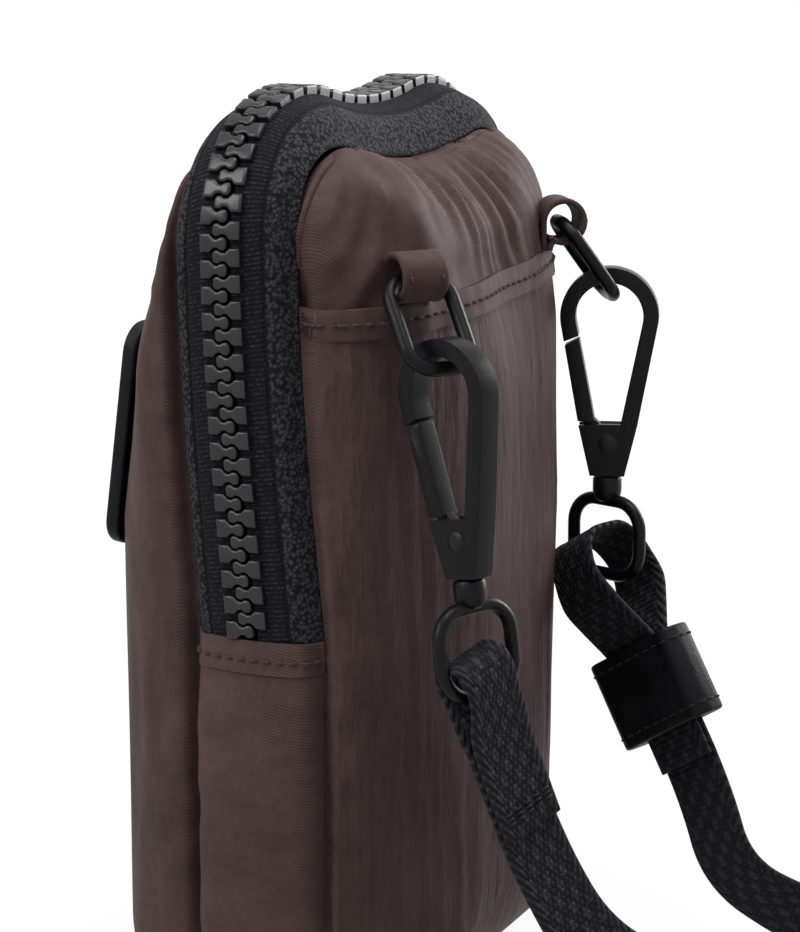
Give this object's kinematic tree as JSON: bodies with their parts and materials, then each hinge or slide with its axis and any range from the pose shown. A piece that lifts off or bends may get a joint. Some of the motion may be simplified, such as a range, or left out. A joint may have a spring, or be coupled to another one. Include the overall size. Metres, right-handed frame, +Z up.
{
  "type": "phone pouch",
  "caption": "Stuffed nylon phone pouch with a wrap-round zip, back slip pocket, rings, swivel snap hooks and a rolled webbing shoulder strap.",
  "frame": {"origin": "middle of the flat bottom", "axes": "+Z up, front with its patch faces -Y, back with its slip pocket and hooks faces +Y"},
  "size_m": [0.1291, 0.2345, 0.1905],
  "materials": {
    "shell": "dark taupe nylon twill, stuffed soft",
    "lining": "thin black lining",
    "patch": "bare black patch",
    "zip_tape": "black knitted zip tape",
    "zip_teeth": "satin black moulded teeth",
    "slider": "satin black enamel",
    "pull": "satin black enamel",
    "webbing": "black woven webbing with braided edges",
    "keeper": "smooth black leather, stitched",
    "hardware": "matt black powder coat",
    "rivet": "satin black rivet"
  },
  "bodies": {
    "pouch": {"front_panel": "shell", "pocket_panel": "shell", "back_panel": "shell", "gusset": "shell", "lining": "lining", "front_patch": "patch", "zip_tape_front": "zip_tape", "zip_tape_back": "zip_tape", "zip_teeth_front": "zip_teeth", "zip_teeth_back": "zip_teeth", "zip_teeth_travel_front": "zip_teeth", "zip_teeth_travel_back": "zip_teeth", "zip_stops": "zip_teeth", "left_loop": "shell", "right_loop": "shell", "strap_run_left": "webbing", "strap_run_right": "webbing", "strap_roll": "webbing"},
    "zip_slider": {"slider_body": "slider", "slider_bail": "slider"},
    "zip_pull": {"pull_tab": "pull"},
    "left_strap": {"left_eye": "hardware", "left_stud": "hardware", "left_strap_end": "webbing"},
    "left_ring": {"left_ring": "hardware"},
    "left_hook": {"left_hook_frame": "hardware", "left_gate_pin": "rivet"},
    "left_gate": {"left_hook_gate": "hardware"},
    "right_strap": {"right_eye": "hardware", "right_stud": "hardware", "right_strap_end": "webbing"},
    "right_ring": {"right_ring": "hardware"},
    "right_hook": {"right_hook_frame": "hardware", "right_gate_pin": "rivet"},
    "right_gate": {"right_hook_gate": "hardware"},
    "strap_keeper": {"keeper": "keeper"}
  },
  "joints": [
    {"name": "zip_slide", "type": "slide", "parent": "pouch", "child": "zip_slider", "axis": [0, 0, 1], "range_m": [0, 0.058], "deforming": ["zip_teeth_travel_front", "zip_teeth_travel_back"]},
    {"name": "pull_swing", "type": "hinge", "parent": "zip_slider", "child": "zip_pull", "pos_m": [-0.05695, 0, 0.0931], "axis": [0, 1, 0], "range_deg": [0, 165]},
    {"name": "left_swing", "type": "hinge", "parent": "pouch", "child": "left_strap", "pos_m": [0.038, 0.02918, 0.15446], "axis": [0.8192, -0.5736, 0], "range_deg": [0, 40], "deforming": ["strap_run_left"]},
    {"name": "left_ring_swing", "type": "hinge", "parent": "pouch", "child": "left_ring", "pos_m": [0.038, 0.02918, 0.15446], "axis": [0.8192, -0.5736, 0], "range_deg": [0, 40]},
    {"name": "left_swivel", "type": "hinge", "parent": "left_strap", "child": "left_hook", "pos_m": [0.04655, 0.04459, 0.099], "axis": [-0.0483, -0.1488, 0.9877], "range_deg": [-40, 15]},
    {"name": "left_gate_open", "type": "hinge", "parent": "left_hook", "child": "left_gate", "pos_m": [0.0462, 0.04351, 0.10611], "axis": [-0.9511, 0.309, 0], "range_deg": [0, 24], "stiffness_Nm_per_rad": 0.02, "springref_deg": -17.19},
    {"name": "right_swing", "type": "hinge", "parent": "pouch", "child": "right_strap", "pos_m": [-0.034, 0.03038, 0.1587], "axis": [0.8192, 0.5736, 0], "range_deg": [0, 40], "deforming": ["strap_run_right"]},
    {"name": "right_ring_swing", "type": "hinge", "parent": "pouch", "child": "right_ring", "pos_m": [-0.034, 0.03038, 0.1587], "axis": [0.8192, 0.5736, 0], "range_deg": [0, 40]},
    {"name": "right_swivel", "type": "hinge", "parent": "right_strap", "child": "right_hook", "pos_m": [-0.04061, 0.03982, 0.10274], "axis": [0, 0, 1], "range_deg": [-15, 40]},
    {"name": "right_gate_open", "type": "hinge", "parent": "right_hook", "child": "right_gate", "pos_m": [-0.04061, 0.03982, 0.10994], "axis": [-0.9511, -0.309, 0], "range_deg": [0, 24], "stiffness_Nm_per_rad": 0.02, "springref_deg": -17.19},
    {"name": "keeper_slide", "type": "slide", "parent": "right_strap", "child": "strap_keeper", "axis": [0.1638, 0.504, -0.848], "range_m": [0, 0.008]}
  ],
  "couplings": [
    {"joint": "left_ring_swing", "follows": "left_swing", "ratio": 1},
    {"joint": "right_ring_swing", "follows": "right_swing", "ratio": 1}
  ]
}
